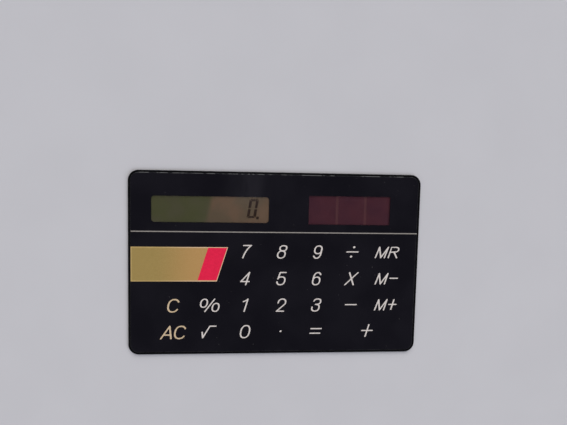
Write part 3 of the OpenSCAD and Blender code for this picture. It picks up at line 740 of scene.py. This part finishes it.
def addStroke(path, points, radius, closed):
    spline = path.splines.new("POLY")
    spline.points.add(len(points) - 1)
    spline.use_cyclic_u = closed
    for place, (x, y, *share) in zip(spline.points, points):
        place.co = (x, y, 0, 1)
        place.radius = radius * (share[0] if share else 1)


faces = [len(addLegend(key).data.polygons) for key in keyNames]
print("legends drawn:", len(faces), "with", sum(faces), "faces")

# Badge, its coloured flash, and the dividing line: inks on the face

printValues = {
    "thickness": 0.003,
    "slant": 17.3,  # degrees from upright
    "badgeBorder": 0.26,
    "badgeTrim": (0.2, 0.1),  # the ink stops short of its place on the right and below
    "flashTrim": (0.2, 0.0),
    "lineTrim": (-0.24, 0.0),  # less than nought: it runs on past its place
}


def addPrint(name, node, height, slanted, trim=(0, 0)):
    low, high = boxOf(node)
    high.x -= trim[0]
    low.y += trim[1]
    lean = (high.y - low.y) * math.tan(math.radians(printValues["slant"]))
    piece = addSheet(name, (low.x, low.y, height), (high.x, high.y, height + printValues["thickness"]))
    for vertex in piece.data.vertices:  # the leaning ends: the lower corners go back to the left
        onRight = vertex.co.x > (low.x + high.x) / 2
        if slanted == "both" and vertex.co.y > (low.y + high.y) / 2 and not onRight:
            vertex.co.x += lean
        if slanted and onRight and vertex.co.y < (low.y + high.y) / 2:
            vertex.co.x -= lean
    return piece


badge = addPrint("badge_field", "badge_print", faceTop, "right", printValues["badgeTrim"])
selectFaces(badge, facesUp)
bpy.ops.object.mode_set(mode="EDIT")
bpy.ops.mesh.inset(thickness=printValues["badgeBorder"])
bpy.ops.object.mode_set(mode="OBJECT")
toMetres(badge, "paleGold", "gold")
for polygon in badge.data.polygons:  # the field inside the border is still selected
    polygon.material_index = 1 if polygon.select else 0
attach(badge, "card")
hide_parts("badge_print")

overBadge = faceTop + printValues["thickness"]
flash = addPrint("badge_flash_field", "badge_flash", overBadge, "both", printValues["flashTrim"])
toMetres(flash, "red")
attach(flash, "card")
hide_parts("badge_flash")

line = addPrint("divider_line_ink", "divider_line", faceTop, "", printValues["lineTrim"])
toMetres(line, "line")
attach(line, "card")
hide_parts("divider_line")
print("prints laid: badge, flash and line")

# Solar cells: plates with their film showing between them

cellValues = {
    "gap": 0.75,  # between two plates
    "gapPlaces": (8.48, 16.95),  # their middles, from the window's left edge
}


def addCells():
    low, high = boxOf("solar_cells")
    ends = [low.x, high.x]
    for place in cellValues["gapPlaces"]:
        middle = solarWindow[0][0] + place
        ends += [middle - cellValues["gap"] / 2, middle + cellValues["gap"] / 2]
    ends.sort()
    plates = []
    for left, right in zip(ends[::2], ends[1::2]):
        plates.append(addSheet("solar_cell_plates", (left, low.y, low.z), (right, high.y, high.z)))
    cells = toMetres(joinPieces(plates), "cells")
    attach(cells, "card")
    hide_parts("solar_cells")


addCells()
print("solar cells laid")

# The digit in the display: a nought and its point, in seven-segment bars on the cell

digitValues = {
    "centreX": -7.18,
    "centreY": 16.3,
    "barSpacing": 1.87,
    "height": 4.9,
    "uprightWidth": 0.8,
    "levelWidth": 0.6,
    "gap": 0.03,  # between the bars at the corners
    "waistGap": 0.14,  # half of the gap at mid height
    "clip": 0.14,  # taken off the outer corners
    "tip": 0.08,  # by which the uprights are cut aslant at the waist
    "slant": 9.3,  # degrees from upright
    "thickness": 0.004,
    "pointX": 1.86,
    "pointSize": 0.8,
    "pointDrop": 0.35,  # of its lower side, under the digit
}


def addDigit():
    low, high = boxOf("display_front_polariser")
    values = digitValues
    across, tall = values["barSpacing"] / 2, values["height"] / 2
    width, thin = values["uprightWidth"], values["levelWidth"]
    gap, waist = values["gap"], values["waistGap"]
    wide, upper = across + width / 2, tall + thin / 2
    bars = [(gap - wide, y - thin / 2, wide - gap, y + thin / 2) for y in (-tall, tall)]
    for x in (-across, across):
        bars.append((x - width / 2, waist, x + width / 2, upper - gap))
        bars.append((x - width / 2, gap - upper, x + width / 2, -waist))
    pieces = []
    for left, bottom, right, head in bars:
        piece = addSheet("display_digit", (left, bottom, high.z), (right, head, high.z + values["thickness"]))
        level = right - left > head - bottom
        for vertex in piece.data.vertices:  # mitred and clipped at the corners, aslant at the waist
            place = vertex.co
            if level:
                place.x -= math.copysign(width if abs(place.y) < tall else values["clip"], place.x)
            elif abs(place.y) > tall:
                place.y -= math.copysign(thin if abs(place.x) < across else values["clip"], place.y)
            elif abs(place.x) < across:
                place.y += math.copysign(values["tip"], place.y)
        pieces.append(piece)
    size = values["pointSize"]
    left, bottom = values["pointX"] - size / 2, -upper - values["pointDrop"]
    corners = (left, bottom, high.z), (left + size, bottom + size, high.z + values["thickness"])
    pieces.append(addSheet("display_digit", *corners, size / 4, 2))
    digit = joinPieces(pieces)
    slantPiece(digit, values["slant"])
    for vertex in digit.data.vertices:
        vertex.co.x += values["centreX"]
        vertex.co.y += values["centreY"]
    toMetres(digit, "segment")
    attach(digit, "card")


addDigit()
print("digit shown")

# Camera, light, floor and backdrop

viewValues = {
    "place": (-14.395, 30.915, 165.992),  # in millimetres from the middle of the card's back
    "turn": (-5.4895, -5.4904, 1.2539),  # in degrees
    "lens": 36.15,
}
bpy.ops.object.camera_add(
    location=[value * mm for value in viewValues["place"]],
    rotation=[math.radians(value) for value in viewValues["turn"]],
)
camera = bpy.context.object
camera.data.lens = viewValues["lens"]
camera.data.sensor_width = 36
camera.data.clip_start = 1 * mm
bpy.context.scene.camera = camera

lampValues = {  # wide soft boxes, far enough off to light the floor evenly
    "keyLamp": {"from": (0.02, 0.70, 0.62), "spread": 56, "strength": 2.05, "colour": "#fffaf4"},
    "fillLamp": {"from": (0.55, -0.45, 0.60), "spread": 40, "strength": 1.0, "colour": "#f4f7ff"},
}
for name, values in lampValues.items():
    towards = -Vector(values["from"])
    bpy.ops.object.light_add(type="SUN", rotation=towards.to_track_quat("-Z", "Y").to_euler())
    lamp = bpy.context.object
    lamp.name = name
    lamp.data.angle = math.radians(values["spread"])
    lamp.data.energy = values["strength"]
    lamp.data.color = toLinear(values["colour"])[:3]
    lamp.visible_glossy = False  # gloss mirrors the painted world, not the wide lamps

floorValues = {"side": 8.0, "drop": 0.02}  # metres, and millimetres under the card
bpy.ops.mesh.primitive_plane_add(size=floorValues["side"], location=(0, 0, -floorValues["drop"] * mm))
floor = bpy.context.object
floor.name = "floor"
floor.data.materials.append(paintedFloor())

skyValues = {
    "ambient": 0.35,
    "ambientColour": "#f6f8ff",
    "backdrop": "#c3c4c9",
    "ceiling": "#1d1e22",  # over the card, for gloss alone
    "ceilingSpan": (0.35, 0.68),  # sines of the heights at which it begins and is full
    "panel": "#6e6d76",  # a dim panel in the ceiling, with its edges as shares of a unit ray
    "panelSides": (0.01, 0.06),
    "panelFront": -0.082,
    "panelSoft": 0.01,  # half the width over which its edges fade
    "strip": 2.5,  # strength of a strip light behind the card, which the film's cut edge catches
    "stripSpan": (0.62, 0.74),  # sines of its height
    "stripSoft": 0.02,
    "stripBehind": 0.5,  # how far back the ray has to point to see it
    "stripFade": 0.1,
    "past": 2.0,  # farther than any ray's end
}


def paintWorld():  # plain for the camera, a painted studio for gloss and glass, and even light for the rest
    world = bpy.data.worlds.new("studio")
    bpy.context.scene.world = world
    world.use_nodes = True
    tree = world.node_tree
    tree.nodes.clear()
    direction = addNode(tree, "ShaderNodeTexCoord", output="Generated")
    across, forward, height = addNode(tree, "ShaderNodeSeparateXYZ", {0: direction}).node.outputs

    def within(value, low, high, soft):  # 1 between two bounds, with soft ends
        rising = {"Value": value, "From Min": low - soft, "From Max": low + soft}
        falling = {"Value": value, "From Min": high + soft, "From Max": high - soft}
        ends = [addNode(tree, "ShaderNodeMapRange", span, softRange) for span in (rising, falling)]
        return addNode(tree, "ShaderNodeMath", {0: ends[0], 1: ends[1]}, {"operation": "MULTIPLY"})

    panel = {
        0: within(across, *skyValues["panelSides"], skyValues["panelSoft"]),
        1: within(forward, skyValues["panelFront"], skyValues["past"], skyValues["panelSoft"]),
    }
    panel = addNode(tree, "ShaderNodeMath", panel, {"operation": "MULTIPLY"})
    strip = {
        0: within(height, *skyValues["stripSpan"], skyValues["stripSoft"]),
        1: within(forward, skyValues["stripBehind"], skyValues["past"], skyValues["stripFade"]),
    }
    strip = addNode(tree, "ShaderNodeMath", strip, {"operation": "MULTIPLY"})
    ceiling = {0: panel, 6: skyValues["ceiling"], 7: skyValues["panel"]}
    ceiling = addNode(tree, "ShaderNodeMix", ceiling, colourMix, 2)
    low, high = skyValues["ceilingSpan"]
    span = {"Value": height, "From Min": low, "From Max": high}
    share = addNode(tree, "ShaderNodeMapRange", span, softRange)
    colour = {0: share, 6: skyValues["backdrop"], 7: ceiling}
    colour = addNode(tree, "ShaderNodeMix", colour, colourMix, 2)
    colour = addNode(tree, "ShaderNodeMix", {0: strip, 6: colour, 7: "#ffffff"}, colourMix, 2)
    strength = {0: strip, 1: skyValues["strip"] - 1, 2: 1.0}
    strength = addNode(tree, "ShaderNodeMath", strength, {"operation": "MULTIPLY_ADD"})
    mirrored = addNode(tree, "ShaderNodeBackground", {"Color": colour, "Strength": strength})
    ambient = {"Color": skyValues["ambientColour"], "Strength": skyValues["ambient"]}
    light = addNode(tree, "ShaderNodeBackground", ambient)
    plain = addNode(tree, "ShaderNodeBackground", {"Color": skyValues["backdrop"]})
    rays = addNode(tree, "ShaderNodeLightPath").node.outputs
    gloss = {0: rays["Is Glossy Ray"], 1: rays["Is Transmission Ray"]}
    gloss = addNode(tree, "ShaderNodeMath", gloss, {"operation": "MAXIMUM"})
    shown = addNode(tree, "ShaderNodeMixShader", {0: gloss, 1: light, 2: mirrored})
    shown = addNode(tree, "ShaderNodeMixShader", {0: rays["Is Camera Ray"], 1: shown, 2: plain})
    setInputs(tree.nodes.new("ShaderNodeOutputWorld"), {"Surface": shown})


paintWorld()
bpy.context.scene.view_settings.view_transform = "Standard"
print("studio set")
